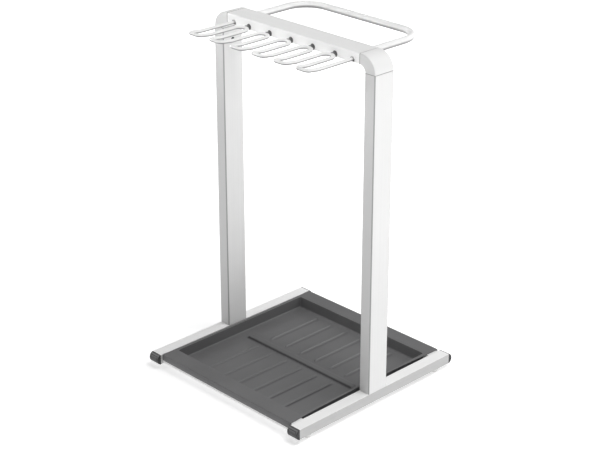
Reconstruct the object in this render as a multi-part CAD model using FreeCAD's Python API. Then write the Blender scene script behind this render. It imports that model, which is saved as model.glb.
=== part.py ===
import FreeCAD, Part
import math
import os

# Umbrella stand: two floor rails joined by two cross bars, two posts, a top beam
# with two bent corner castings, a wire comb in front, a tube hoop behind, a lift-out
# drip tray and four screw-in glides.
# Millimetres. X runs along the beam, -Y is the comb side, Z is up, floor at Z = 0.

Vector = FreeCAD.Vector
X_AXIS = Vector(1, 0, 0)
Y_AXIS = Vector(0, 1, 0)
Z_AXIS = Vector(0, 0, 1)

# Clearances
SEAT_GAP = 0.1            # per side, a plug or tongue inside a tube
THREAD_GAP = 0.05         # radial, a screw in its thread
BODY_GAP = 0.3            # between pieces that move apart
WELD_GAP = 0.02           # between faces that a weld joins
OVERCUT = 1.0             # how far a cutting tool runs past the face it opens
SINK = 0.5                # how deep an added rib is rooted in its floor

# Floor rails
FRAME_WIDTH = 500.0
RAIL_WIDTH = 30.0
RAIL_HEIGHT = 25.0
RAIL_LENGTH = 490.0
RAIL_WALL = 1.5
RAIL_EDGE = 1.5
RAIL_BASE = 12.0
RAIL_TOP = RAIL_BASE + RAIL_HEIGHT
RAIL_X = FRAME_WIDTH / 2 - RAIL_WIDTH / 2
RAIL_INNER_X = FRAME_WIDTH / 2 - RAIL_WIDTH

# Rail end caps
CAP_NOSE = 10.0
CAP_RIM = 1.4
CAP_PLUG = 18.0
CAP_WALL = 2.0
CAP_EDGE = 0.8

# Posts, one extrusion with two screw ports
POST_DEPTH = 58.0
POST_LENGTH = 752.0
POST_WALL = 2.0
POST_EDGE = 3.0
PORT_Y = 22.0
PORT_RADIUS = 5.0
PORT_BORE = 2.8
SEAM_Z = RAIL_TOP + POST_LENGTH

# Top beam and corner castings
BEAM_HEIGHT = 25.0
BEAM_WALL = 2.0
BEAM_EDGE = 3.0
BEND_INNER = 15.5
BEND_OUTER = BEND_INNER + BEAM_HEIGHT
BEAM_BOTTOM = SEAM_Z + BEND_INNER
BEAM_TOP = SEAM_Z + BEND_OUTER
BEAM_MIDDLE = BEAM_BOTTOM + BEAM_HEIGHT / 2
BEAM_HALF = RAIL_INNER_X - BEND_INNER
BEND_WALL = 3.0
TONGUE_WIDTH = 30.0
TONGUE_LENGTH = 40.0
TONGUE_ROOT = 6.0
TONGUE_EDGE = 1.0

# Screws that hold the castings, their heads sunk in round holes
HEAD_HOLE = 4.7
HEAD_RADIUS = 4.3
SCREW_RADIUS = 2.0
SCREW_LENGTH = 12.0
SCREW_PLAY = 0.3
HEAD_SINK = 0.1
HEAD_ROUNDING = 0.35      # share of a head's height
SCREW_SOCKET = 1.6
SCREW_SOCKET_DEPTH = 1.2
POST_SCREW_DROP = 30.0
BEAM_SCREW_X = BEAM_HALF - 9.0

# Rail to post bolts
BOLT_RADIUS = PORT_BORE - THREAD_GAP
BOLT_HEAD_RADIUS = 5.0
BOLT_HEAD_HEIGHT = 6.0
BOLT_REACH = 30.0
BOLT_HOLE = 3.3
BOLT_SOCKET = 2.9
BOLT_SOCKET_DEPTH = 3.0
ACCESS_RADIUS = 6.5

# Plugs that close the access holes
PLUG_RIM = 1.0
PLUG_STEM = 4.0
PLUG_WALL = 1.5

# Wire comb: twelve rods, six square-cornered loops in front, five round bends behind
ROD_RADIUS = 4.0
ROD_PITCH = 33.4
ROD_COUNT = 12
COMB_Z = SEAM_Z + 23.0
COMB_FRONT_Y = -160.0
COMB_CORNER = 9.0
COMB_TILT_START_Y = -125.0
COMB_TILT_RADIUS = 40.0
COMB_TILT = math.radians(7.0)
COMB_REAR_Y = -40.0
COMB_SOCKET_END_Y = 10.0
COMB_HOLE_RADIUS = 6.8
COMB_HOLE_DROP = 1.5
SPACER_RADIUS = 3.5

# Rear hoop
HOOP_RADIUS = 8.0
HOOP_WALL = 1.5
HOOP_HALF = 180.0
HOOP_REAR_Y = 195.0
HOOP_Z = BEAM_MIDDLE - 1.0
HOOP_BEND = 60.0
HOOP_START_Y = TONGUE_WIDTH / 2 + 2 * BODY_GAP
HOOP_PLUG_LENGTH = 12.0
HOOP_SCREW_Y = 22.0

# Cross bars under the tray flanges
BAR_DEPTH = 33.0
BAR_HEIGHT = 22.0
BAR_WALL = 1.5
BAR_EDGE = 1.5
BAR_OUTER_Y = 239.0
BAR_TOP = RAIL_TOP - BODY_GAP
BAR_WELD = 2.4

# Drip tray
TRAY_WIDTH = 435.0
TRAY_DEPTH = 484.0
TRAY_SHEET = 2.5
TRAY_TOP = RAIL_TOP + TRAY_SHEET
TRAY_CORNER = 5.0
TRAY_BOW = 5.5
SKIRT_DROP = 16.0
BASIN_HALF_X = 207.0
BASIN_HALF_Y = 201.5
BASIN_DRAFT = 4.0
BASIN_DEPTH = 25.0
BASIN_CORNER = 12.0
RIB_PITCH = 50.0
RIB_COUNT = 6
RIB_WIDTH = 9.0
RIB_HEIGHT = 3.0
RIB_NEAR_Y = 20.0
RIB_FAR_Y = 184.0
SPINE_HALF = 176.0
SPINE_WIDTH = 24.0
SPINE_TOP_WIDTH = 15.0
SPINE_HEIGHT = 6.0

# Glides
GLIDE_Y = 210.0
GLIDE_HEIGHT = 10.2
GLIDE_BOTTOM_RADIUS = 7.5
GLIDE_TOP_RADIUS = 12.5
GLIDE_EDGE = 1.8
STUD_RADIUS = 4.0
STUD_TOP = 33.0
STUD_CHAMFER = 0.6
STUD_SOCKET_FLOOR = 3.0
WASHER_RADIUS = 11.5
WASHER_HEIGHT = 1.2
NUT_RADIUS = 6.5
NUT_HEIGHT = 12.0
NUT_FLANGE_RADIUS = 8.5
NUT_FLANGE_HEIGHT = 1.2


def box(x0, y0, z0, x1, y1, z1):
    return Part.makeBox(x1 - x0, y1 - y0, z1 - z0, Vector(x0, y0, z0))


def rounded_box(x0, y0, z0, x1, y1, z1, radius, axis):
    """Box with the four edges parallel to the axis letter rounded."""
    solid = box(x0, y0, z0, x1, y1, z1)
    along = {"x": X_AXIS, "y": Y_AXIS, "z": Z_AXIS}[axis]
    edges = []
    for edge in solid.Edges:
        direction = edge.Vertexes[1].Point.sub(edge.Vertexes[0].Point)
        direction.normalize()
        if abs(direction.dot(along)) > 0.99:
            edges.append(edge)
    return solid.makeFillet(radius, edges)


def tube(x0, y0, z0, x1, y1, z1, wall, radius, axis):
    """Rectangular tube open at both ends, its bore along the axis letter."""
    shrink = {"x": (0, wall, wall), "y": (wall, 0, wall), "z": (wall, wall, 0)}[axis]
    outside = rounded_box(x0, y0, z0, x1, y1, z1, radius, axis)
    inner_radius = max(radius - wall, 0.5)
    extra = {"x": (1, 0, 0), "y": (0, 1, 0), "z": (0, 0, 1)}[axis]
    inside = rounded_box(x0 + shrink[0] - extra[0], y0 + shrink[1] - extra[1],
                         z0 + shrink[2] - extra[2], x1 - shrink[0] + extra[0],
                         y1 - shrink[1] + extra[1], z1 - shrink[2] + extra[2],
                         inner_radius, axis)
    return outside.cut(inside)


def cylinder(radius, x, y, z, direction, length):
    return Part.makeCylinder(radius, length, Vector(x, y, z), direction)


def prism(points, direction):
    """Closed straight-sided outline swept along a vector."""
    outline = Part.makePolygon(points + [points[0]])
    return Part.Face(outline).extrude(direction)


def mirror_x(shape):
    return shape.mirror(Vector(0, 0, 0), X_AXIS)


def mirror_y(shape):
    return shape.mirror(Vector(0, 0, 0), Y_AXIS)


def make_rail():
    """Right floor rail with its bolt, access and glide holes."""
    x0 = RAIL_INNER_X
    x1 = FRAME_WIDTH / 2
    half = RAIL_LENGTH / 2
    rail = tube(x0, -half, RAIL_BASE, x1, half, RAIL_TOP, RAIL_WALL, RAIL_EDGE, "y")
    for side in (-1, 1):
        y = side * PORT_Y
        through = RAIL_WALL + 2 * OVERCUT
        roof = RAIL_TOP - RAIL_WALL - OVERCUT
        floor = RAIL_BASE - OVERCUT
        rail = rail.cut(cylinder(BOLT_HOLE, RAIL_X, y, roof, Z_AXIS, through))
        rail = rail.cut(cylinder(ACCESS_RADIUS, RAIL_X, y, floor, Z_AXIS, through))
        y = side * GLIDE_Y
        rail = rail.cut(cylinder(NUT_RADIUS, RAIL_X, y, floor, Z_AXIS, through))
    return rail


def make_end_cap():
    """Cap of the right rail's front end: a bowed nose on a hollow square plug."""
    y_rail = -RAIL_LENGTH / 2
    x0 = RAIL_INNER_X
    x1 = FRAME_WIDTH / 2
    z_middle = (RAIL_BASE + RAIL_TOP) / 2
    rim_y = y_rail - CAP_RIM
    top_back = Vector(x0, y_rail, RAIL_TOP)
    top = Vector(x0, rim_y, RAIL_TOP)
    nose = Vector(x0, y_rail - CAP_NOSE, z_middle)
    bottom = Vector(x0, rim_y, RAIL_BASE)
    bottom_back = Vector(x0, y_rail, RAIL_BASE)
    outline = Part.Wire([
        Part.makeLine(bottom_back, top_back),
        Part.makeLine(top_back, top),
        Part.Arc(top, nose, bottom).toShape(),
        Part.makeLine(bottom, bottom_back)])
    head = Part.Face(outline).extrude(Vector(RAIL_WIDTH, 0, 0))
    rounded = []
    for edge in head.Edges:
        middle = edge.valueAt((edge.FirstParameter + edge.LastParameter) / 2)
        on_side = abs(middle.x - x0) < 0.01 or abs(middle.x - x1) < 0.01
        if on_side and middle.y < rim_y - CAP_NOSE / 4:
            rounded.append(edge)
    head = head.makeFillet(CAP_EDGE, rounded)
    inset = RAIL_WALL + SEAT_GAP
    plug = tube(x0 + inset, y_rail, RAIL_BASE + inset, x1 - inset,
                y_rail + CAP_PLUG, RAIL_TOP - inset, CAP_WALL, CAP_EDGE, "y")
    return head.fuse(plug).removeSplitter()


def make_post():
    """Right post: rectangular extrusion, two screw ports joined to its short walls."""
    half_depth = POST_DEPTH / 2
    x0 = RAIL_INNER_X
    x1 = FRAME_WIDTH / 2
    post = tube(x0, -half_depth, RAIL_TOP, x1, half_depth, SEAM_Z,
                POST_WALL, POST_EDGE, "z")
    for side in (-1, 1):
        y = side * PORT_Y
        wall_y = side * (half_depth - POST_WALL / 2)
        web = box(RAIL_X - PORT_RADIUS, min(y, wall_y), RAIL_TOP,
                  RAIL_X + PORT_RADIUS, max(y, wall_y), SEAM_Z)
        port = cylinder(PORT_RADIUS, RAIL_X, y, RAIL_TOP, Z_AXIS, POST_LENGTH)
        post = post.fuse([web, port])
    for side in (-1, 1):
        bore = cylinder(PORT_BORE, RAIL_X, side * PORT_Y, RAIL_TOP - OVERCUT, Z_AXIS,
                        POST_LENGTH + 2 * OVERCUT)
        post = post.cut(bore)
    hole = cylinder(HEAD_HOLE, x0 - OVERCUT, 0, SEAM_Z - POST_SCREW_DROP, X_AXIS,
                    POST_WALL + 2 * OVERCUT)
    return post.cut(hole).removeSplitter()


def bend_outline(inset, overrun):
    """Face in the XZ plane of a right-hand quarter bend, shrunk by inset all along.

    overrun lengthens it past both seams, so that a core cut opens the ends.
    """
    outer_x = FRAME_WIDTH / 2 - inset
    inner_x = RAIL_INNER_X + inset
    top_z = BEAM_TOP - inset
    low_z = BEAM_BOTTOM + inset
    outer_radius = BEND_OUTER - inset
    inner_radius = BEND_INNER + inset
    seam_z = SEAM_Z - overrun
    seam_x = BEAM_HALF - overrun
    centre_outer = Vector(outer_x - outer_radius, 0, SEAM_Z)
    centre_inner = Vector(inner_x - inner_radius, 0, SEAM_Z)
    slant = math.sqrt(0.5)
    p_outer_low = Vector(outer_x, 0, seam_z)
    p_outer_start = Vector(outer_x, 0, SEAM_Z)
    p_outer_mid = centre_outer + Vector(outer_radius * slant, 0, outer_radius * slant)
    p_outer_end = Vector(centre_outer.x, 0, top_z)
    p_beam_top = Vector(seam_x, 0, top_z)
    p_beam_low = Vector(seam_x, 0, low_z)
    p_inner_end = Vector(centre_inner.x, 0, low_z)
    p_inner_mid = centre_inner + Vector(inner_radius * slant, 0, inner_radius * slant)
    p_inner_start = Vector(inner_x, 0, SEAM_Z)
    p_inner_low = Vector(inner_x, 0, seam_z)
    edges = [Part.Arc(p_outer_start, p_outer_mid, p_outer_end).toShape(),
             Part.makeLine(p_outer_end, p_beam_top),
             Part.makeLine(p_beam_top, p_beam_low)]
    if p_beam_low.distanceToPoint(p_inner_end) > 1e-6:
        edges.append(Part.makeLine(p_beam_low, p_inner_end))
    edges.append(Part.Arc(p_inner_end, p_inner_mid, p_inner_start).toShape())
    if overrun > 0:
        edges.append(Part.makeLine(p_inner_start, p_inner_low))
        edges.append(Part.makeLine(p_inner_low, p_outer_low))
        edges.append(Part.makeLine(p_outer_low, p_outer_start))
    else:
        edges.append(Part.makeLine(p_inner_start, p_outer_start))
    return Part.Face(Part.Wire(Part.__sortEdges__(edges)))


def make_corner_casting():
    """Right corner: hollow quarter bend with a tongue into the post and one into the beam."""
    half_depth = POST_DEPTH / 2
    body = bend_outline(0, 0)
    body.translate(Vector(0, -half_depth, 0))
    body = body.extrude(Vector(0, POST_DEPTH, 0))
    rounded = []
    for edge in body.Edges:
        middle = edge.valueAt((edge.FirstParameter + edge.LastParameter) / 2)
        on_face = abs(abs(middle.y) - half_depth) < 0.01
        on_seam = abs(middle.z - SEAM_Z) < 0.01 or abs(middle.x - BEAM_HALF) < 0.01
        if on_face and not on_seam:
            rounded.append(edge)
    body = body.makeFillet(BEAM_EDGE, rounded)
    core = bend_outline(BEND_WALL, OVERCUT)
    core.translate(Vector(0, -half_depth + BEND_WALL, 0))
    core = core.extrude(Vector(0, POST_DEPTH - 2 * BEND_WALL, 0))
    body = body.cut(core)
    half_tongue = TONGUE_WIDTH / 2
    inset = POST_WALL + SEAT_GAP
    down = rounded_box(RAIL_INNER_X + inset, -half_tongue, SEAM_Z - TONGUE_LENGTH,
                       FRAME_WIDTH / 2 - inset, half_tongue, SEAM_Z + TONGUE_ROOT,
                       TONGUE_EDGE, "z")
    inset = BEAM_WALL + SEAT_GAP
    across = rounded_box(BEAM_HALF - TONGUE_LENGTH, -half_tongue, BEAM_BOTTOM + inset,
                         BEAM_HALF + TONGUE_ROOT, half_tongue, BEAM_TOP - inset,
                         TONGUE_EDGE, "x")
    body = body.fuse([down, across])
    screw_depth = POST_WALL + SCREW_LENGTH + 4 * OVERCUT
    post_bore = cylinder(SCREW_RADIUS + THREAD_GAP, RAIL_INNER_X, 0,
                         SEAM_Z - POST_SCREW_DROP, X_AXIS, screw_depth)
    beam_bore = cylinder(SCREW_RADIUS + THREAD_GAP, BEAM_SCREW_X, 0,
                         BEAM_BOTTOM, Z_AXIS, screw_depth)
    socket_x = ROD_PITCH * (ROD_COUNT - 1) / 2
    rod_bore = cylinder(ROD_RADIUS + THREAD_GAP, socket_x, -half_tongue - OVERCUT, COMB_Z,
                        Y_AXIS, half_tongue + COMB_SOCKET_END_Y + 2 * OVERCUT)
    return body.cut([post_bore, beam_bore, rod_bore]).removeSplitter()


def make_beam():
    """Top beam: rectangular tube with holes for comb ends, hoop ends and screws."""
    half_depth = POST_DEPTH / 2
    beam = tube(-BEAM_HALF, -half_depth, BEAM_BOTTOM, BEAM_HALF, half_depth, BEAM_TOP,
                BEAM_WALL, BEAM_EDGE, "x")
    socket_x = ROD_PITCH * (ROD_COUNT - 1) / 2
    cuts = []
    for side in (-1, 1):
        through = BEAM_WALL + 2 * OVERCUT
        cuts.append(cylinder(COMB_HOLE_RADIUS, side * socket_x, -half_depth - OVERCUT,
                             COMB_Z - COMB_HOLE_DROP, Y_AXIS, through))
        cuts.append(cylinder(HOOP_RADIUS + THREAD_GAP, side * HOOP_HALF,
                             half_depth - BEAM_WALL - OVERCUT, HOOP_Z, Y_AXIS, through))
        cuts.append(cylinder(HEAD_HOLE, side * BEAM_SCREW_X, 0, BEAM_BOTTOM - OVERCUT,
                             Z_AXIS, through))
        cuts.append(cylinder(SCREW_RADIUS + SCREW_PLAY, side * HOOP_HALF, HOOP_SCREW_Y,
                             BEAM_BOTTOM - OVERCUT, Z_AXIS, through))
    return beam.cut(cuts)


def make_comb():
    """One bent rod: six tilted square-cornered front loops, five round rear bends on spacers."""
    bend = ROD_PITCH / 2
    left = -ROD_PITCH * (ROD_COUNT - 1) / 2
    sin_t = math.sin(COMB_TILT)
    cos_t = math.cos(COMB_TILT)
    arc_end_y = COMB_TILT_START_Y - COMB_TILT_RADIUS * sin_t
    arc_end_z = COMB_Z + COMB_TILT_RADIUS * (1 - cos_t)
    straight = (arc_end_y - COMB_FRONT_Y) / cos_t - COMB_CORNER
    corner_across = COMB_CORNER * (1 - math.sqrt(0.5))
    corner_along = COMB_CORNER * math.sqrt(0.5)
    bend_y = arc_end_y - straight * cos_t
    bend_z = arc_end_z + straight * sin_t
    half_sin = math.sin(COMB_TILT / 2)
    half_cos = math.cos(COMB_TILT / 2)
    pieces = []
    for index in range(ROD_COUNT // 2):
        x_left = left + 2 * index * ROD_PITCH
        x_right = x_left + ROD_PITCH
        first = index == 0
        last = index == ROD_COUNT // 2 - 1
        rear_y = COMB_REAR_Y - bend
        left_start = COMB_SOCKET_END_Y if first else rear_y
        right_end = COMB_SOCKET_END_Y if last else rear_y
        tilt_start = Vector(x_left, COMB_TILT_START_Y, COMB_Z)
        tilt_middle = Vector(x_left, COMB_TILT_START_Y - COMB_TILT_RADIUS * half_sin,
                             COMB_Z + COMB_TILT_RADIUS * (1 - half_cos))
        tilt_end = Vector(x_left, arc_end_y, arc_end_z)
        bend_start = Vector(x_left, bend_y, bend_z)
        bend_end = Vector(x_right, bend_y, bend_z)
        nose_y = bend_y - COMB_CORNER * cos_t
        nose_z = bend_z + COMB_CORNER * sin_t
        corner_y = bend_y - corner_along * cos_t
        corner_z = bend_z + corner_along * sin_t
        nose_start = Vector(x_left + COMB_CORNER, nose_y, nose_z)
        nose_end = Vector(x_right - COMB_CORNER, nose_y, nose_z)
        left_corner = Vector(x_left + corner_across, corner_y, corner_z)
        right_corner = Vector(x_right - corner_across, corner_y, corner_z)
        shift = Vector(ROD_PITCH, 0, 0)
        pieces.append(Part.makeLine(Vector(x_left, left_start, COMB_Z), tilt_start))
        pieces.append(Part.Arc(tilt_start, tilt_middle, tilt_end).toShape())
        pieces.append(Part.makeLine(tilt_end, bend_start))
        pieces.append(Part.Arc(bend_start, left_corner, nose_start).toShape())
        pieces.append(Part.makeLine(nose_start, nose_end))
        pieces.append(Part.Arc(nose_end, right_corner, bend_end).toShape())
        pieces.append(Part.makeLine(bend_end, tilt_end + shift))
        pieces.append(Part.Arc(tilt_end + shift, tilt_middle + shift,
                               tilt_start + shift).toShape())
        pieces.append(Part.makeLine(tilt_start + shift, Vector(x_right, right_end, COMB_Z)))
        if not last:
            rear_start = Vector(x_right, rear_y, COMB_Z)
            rear_middle = Vector(x_right + bend, COMB_REAR_Y, COMB_Z)
            rear_end = Vector(x_right + ROD_PITCH, rear_y, COMB_Z)
            pieces.append(Part.Arc(rear_start, rear_middle, rear_end).toShape())
    path = Part.Wire(pieces)
    circle = Part.makeCircle(ROD_RADIUS, Vector(left, COMB_SOCKET_END_Y, COMB_Z), Y_AXIS)
    rod = path.makePipeShell([Part.Wire(circle)], True, False)
    spacers = []
    for index in range(ROD_COUNT // 2 - 1):
        middle = left + (2 * index + 1.5) * ROD_PITCH
        spacers.append(cylinder(SPACER_RADIUS, middle, COMB_REAR_Y, COMB_Z, Y_AXIS,
                                -POST_DEPTH / 2 - WELD_GAP - COMB_REAR_Y))
    return rod.fuse(spacers)


def hoop_path(start_y):
    slant = HOOP_BEND * (1 - math.sqrt(0.5))
    side = HOOP_HALF
    rear = HOOP_REAR_Y
    z = HOOP_Z
    return Part.Wire([
        Part.makeLine(Vector(-side, start_y, z), Vector(-side, rear - HOOP_BEND, z)),
        Part.Arc(Vector(-side, rear - HOOP_BEND, z), Vector(-side + slant, rear - slant, z),
                 Vector(-side + HOOP_BEND, rear, z)).toShape(),
        Part.makeLine(Vector(-side + HOOP_BEND, rear, z), Vector(side - HOOP_BEND, rear, z)),
        Part.Arc(Vector(side - HOOP_BEND, rear, z), Vector(side - slant, rear - slant, z),
                 Vector(side, rear - HOOP_BEND, z)).toShape(),
        Part.makeLine(Vector(side, rear - HOOP_BEND, z), Vector(side, start_y, z))])


def make_hoop():
    """Bent round tube; cross holes for its two screws near the ends."""
    shells = []
    for radius in (HOOP_RADIUS, HOOP_RADIUS - HOOP_WALL):
        circle = Part.makeCircle(radius, Vector(-HOOP_HALF, HOOP_START_Y, HOOP_Z), Y_AXIS)
        shells.append(hoop_path(HOOP_START_Y).makePipeShell([Part.Wire(circle)], True, False))
    hoop = shells[0].cut(shells[1])
    for side in (-1, 1):
        hoop = hoop.cut(cylinder(SCREW_RADIUS + SCREW_PLAY, side * HOOP_HALF, HOOP_SCREW_Y,
                                 BEAM_BOTTOM, Z_AXIS, BEAM_HEIGHT / 2))
    return hoop


def make_hoop_plug():
    """Threaded slug inside the hoop's right-hand end."""
    plug = cylinder(HOOP_RADIUS - HOOP_WALL - THREAD_GAP, HOOP_HALF, HOOP_START_Y,
                    HOOP_Z, Y_AXIS, HOOP_PLUG_LENGTH)
    bore = cylinder(SCREW_RADIUS + THREAD_GAP, HOOP_HALF, HOOP_SCREW_Y,
                    HOOP_Z - HOOP_RADIUS, Z_AXIS, HOOP_RADIUS + 2 * OVERCUT)
    return plug.cut(bore)


def make_screw(radius, length, head_radius, head_height, recess_radius, recess_depth):
    """Screw standing on Z = 0 with its head below, driven from underneath."""
    head = cylinder(head_radius, 0, 0, -head_height, Z_AXIS, head_height)
    rim = []
    for edge in head.Edges:
        if abs(edge.CenterOfMass.z + head_height) < 0.01 and len(edge.Vertexes) == 1:
            rim.append(edge)
    head = head.makeFillet(head_height * HEAD_ROUNDING, rim)
    shank = cylinder(radius, 0, 0, -SINK, Z_AXIS, length + SINK)
    corners = []
    for step in range(7):
        angle = math.radians(60 * step)
        corners.append(Vector(recess_radius * math.cos(angle),
                              recess_radius * math.sin(angle), -head_height - OVERCUT))
    recess = Part.Face(Part.makePolygon(corners)).extrude(Vector(0, 0, recess_depth + OVERCUT))
    return head.fuse(shank).cut(recess).removeSplitter()


def placed(shape, x, y, z, axis=None, degrees=0):
    copy = shape.copy()
    if axis is not None:
        copy.rotate(Vector(0, 0, 0), axis, degrees)
    copy.translate(Vector(x, y, z))
    return copy


def make_crossbar():
    """Front cross bar, butted between the rails."""
    end = RAIL_INNER_X - WELD_GAP
    return tube(-end, -BAR_OUTER_Y, BAR_TOP - BAR_HEIGHT, end, -BAR_OUTER_Y + BAR_DEPTH,
                BAR_TOP, BAR_WALL, BAR_EDGE, "x")


def make_bar_weld():
    """Fillet weld under the front cross bar's right-hand end."""
    x = RAIL_INNER_X - WELD_GAP
    z = BAR_TOP - BAR_HEIGHT - WELD_GAP
    y0 = -BAR_OUTER_Y + BAR_EDGE
    corner = [Vector(x, y0, z), Vector(x - BAR_WELD, y0, z), Vector(x, y0, z - BAR_WELD)]
    return prism(corner, Vector(0, BAR_DEPTH - 2 * BAR_EDGE, 0))


def rounded_frustum(half_x, half_y, z_top, depth, draft, radius):
    """Straight-sided pocket block with rounded corners that narrows downwards."""
    sections = []
    for drop, shrink in ((0.0, 0.0), (depth, draft)):
        hx = half_x - shrink
        hy = half_y - shrink
        r = radius
        z = z_top - drop
        s = r * (1 - math.sqrt(0.5))
        edges = [
            Part.makeLine(Vector(-hx + r, -hy, z), Vector(hx - r, -hy, z)),
            Part.Arc(Vector(hx - r, -hy, z), Vector(hx - s, -hy + s, z),
                     Vector(hx, -hy + r, z)).toShape(),
            Part.makeLine(Vector(hx, -hy + r, z), Vector(hx, hy - r, z)),
            Part.Arc(Vector(hx, hy - r, z), Vector(hx - s, hy - s, z),
                     Vector(hx - r, hy, z)).toShape(),
            Part.makeLine(Vector(hx - r, hy, z), Vector(-hx + r, hy, z)),
            Part.Arc(Vector(-hx + r, hy, z), Vector(-hx + s, hy - s, z),
                     Vector(-hx, hy - r, z)).toShape(),
            Part.makeLine(Vector(-hx, hy - r, z), Vector(-hx, -hy + r, z)),
            Part.Arc(Vector(-hx, -hy + r, z), Vector(-hx + s, -hy + s, z),
                     Vector(-hx + r, -hy, z)).toShape()]
        sections.append(Part.Wire(edges))
    return Part.makeLoft(sections, True, True)


def tray_plan(z, thickness, inset):
    """Flange plate: straight front and rear, long sides bowed inwards."""
    hx = TRAY_WIDTH / 2 - inset
    hy = TRAY_DEPTH / 2 - inset
    r = TRAY_CORNER - inset
    s = r * (1 - math.sqrt(0.5))
    middle = hx - TRAY_BOW
    edges = [
        Part.makeLine(Vector(-hx + r, -hy, z), Vector(hx - r, -hy, z)),
        Part.Arc(Vector(hx - r, -hy, z), Vector(hx - s, -hy + s, z),
                 Vector(hx, -hy + r, z)).toShape(),
        Part.Arc(Vector(hx, -hy + r, z), Vector(middle, 0, z), Vector(hx, hy - r, z)).toShape(),
        Part.Arc(Vector(hx, hy - r, z), Vector(hx - s, hy - s, z),
                 Vector(hx - r, hy, z)).toShape(),
        Part.makeLine(Vector(hx - r, hy, z), Vector(-hx + r, hy, z)),
        Part.Arc(Vector(-hx + r, hy, z), Vector(-hx + s, hy - s, z),
                 Vector(-hx, hy - r, z)).toShape(),
        Part.Arc(Vector(-hx, hy - r, z), Vector(-middle, 0, z),
                 Vector(-hx, -hy + r, z)).toShape(),
        Part.Arc(Vector(-hx, -hy + r, z), Vector(-hx + s, -hy + s, z),
                 Vector(-hx + r, -hy, z)).toShape()]
    return Part.Face(Part.Wire(edges)).extrude(Vector(0, 0, thickness))


def make_rib(x, side):
    """Rounded drain rib on the tray floor, front (-1) or rear (1) half."""
    floor_z = TRAY_TOP - BASIN_DEPTH
    root_z = floor_z - SINK
    half = RIB_WIDTH / 2
    outline = Part.Wire([
        Part.Arc(Vector(x - half, 0, root_z), Vector(x, 0, floor_z + RIB_HEIGHT),
                 Vector(x + half, 0, root_z)).toShape(),
        Part.makeLine(Vector(x + half, 0, root_z), Vector(x - half, 0, root_z))])
    rib = Part.Face(outline).extrude(Vector(0, RIB_FAR_Y - RIB_NEAR_Y, 0))
    rib.translate(Vector(0, RIB_NEAR_Y, 0))
    if side < 0:
        rib = mirror_y(rib)
    return rib


def make_spine():
    """Raised bar across the tray floor, its sides and ends sloped."""
    floor_z = TRAY_TOP - BASIN_DEPTH
    sections = []
    slope = (SPINE_WIDTH - SPINE_TOP_WIDTH) / 2
    for z, inset in ((floor_z - SINK, 0.0), (floor_z + SPINE_HEIGHT, slope)):
        hx = SPINE_HALF - inset
        hy = SPINE_WIDTH / 2 - inset
        points = [Vector(-hx, -hy, z), Vector(hx, -hy, z), Vector(hx, hy, z),
                  Vector(-hx, hy, z), Vector(-hx, -hy, z)]
        sections.append(Part.makePolygon(points))
    return Part.makeLoft(sections, True, True)


def make_tray():
    """Drip tray: flange, front and rear skirts, drafted basin, drain ribs and cross spine."""
    flange = tray_plan(TRAY_TOP - TRAY_SHEET, TRAY_SHEET, 0)
    skirt = tray_plan(TRAY_TOP - SKIRT_DROP, SKIRT_DROP, 0)
    skirt = skirt.cut(tray_plan(TRAY_TOP - SKIRT_DROP - OVERCUT, SKIRT_DROP + 2 * OVERCUT,
                                TRAY_SHEET))
    reach = BAR_OUTER_Y + BODY_GAP
    skirt = skirt.cut(box(-TRAY_WIDTH, -reach, 0, TRAY_WIDTH, reach, TRAY_TOP + OVERCUT))
    outside = rounded_frustum(BASIN_HALF_X + TRAY_SHEET, BASIN_HALF_Y + TRAY_SHEET,
                              TRAY_TOP, BASIN_DEPTH + TRAY_SHEET, BASIN_DRAFT,
                              BASIN_CORNER + TRAY_SHEET)
    inside = rounded_frustum(BASIN_HALF_X, BASIN_HALF_Y, TRAY_TOP, BASIN_DEPTH,
                             BASIN_DRAFT, BASIN_CORNER)
    over = rounded_frustum(BASIN_HALF_X, BASIN_HALF_Y, TRAY_TOP + OVERCUT, OVERCUT, 0.0,
                           BASIN_CORNER)
    tray = flange.fuse([skirt, outside]).cut([inside, over])
    ribs = [make_spine()]
    for index in range(RIB_COUNT):
        x = (index - (RIB_COUNT - 1) / 2) * RIB_PITCH
        ribs.append(make_rib(x, 1))
        ribs.append(make_rib(x, -1))
    return tray.fuse(ribs).removeSplitter()


def make_glide():
    """Plastic foot of the front right glide, a rounded cone with a blind bore."""
    cone = Part.makeCone(GLIDE_BOTTOM_RADIUS, GLIDE_TOP_RADIUS, GLIDE_HEIGHT)
    rim = []
    for edge in cone.Edges:
        if len(edge.Vertexes) == 1 and abs(edge.CenterOfMass.z) < 0.01:
            rim.append(edge)
    cone = cone.makeFillet(GLIDE_EDGE, rim)
    bore = cylinder(STUD_RADIUS + THREAD_GAP, 0, 0, STUD_SOCKET_FLOOR, Z_AXIS, GLIDE_HEIGHT)
    return placed(cone.cut(bore), RAIL_X, -GLIDE_Y, 0)


def make_stud():
    stud = cylinder(STUD_RADIUS, 0, 0, STUD_SOCKET_FLOOR, Z_AXIS, STUD_TOP - STUD_SOCKET_FLOOR)
    ends = [edge for edge in stud.Edges if len(edge.Vertexes) == 1]
    return placed(stud.makeChamfer(STUD_CHAMFER, ends), RAIL_X, -GLIDE_Y, 0)


def make_washer():
    base = GLIDE_HEIGHT + (RAIL_BASE - GLIDE_HEIGHT - WASHER_HEIGHT) / 2
    ring = cylinder(WASHER_RADIUS, RAIL_X, -GLIDE_Y, base, Z_AXIS, WASHER_HEIGHT)
    bore = cylinder(STUD_RADIUS + THREAD_GAP, RAIL_X, -GLIDE_Y, base - OVERCUT, Z_AXIS,
                    WASHER_HEIGHT + 2 * OVERCUT)
    return ring.cut(bore)


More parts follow.
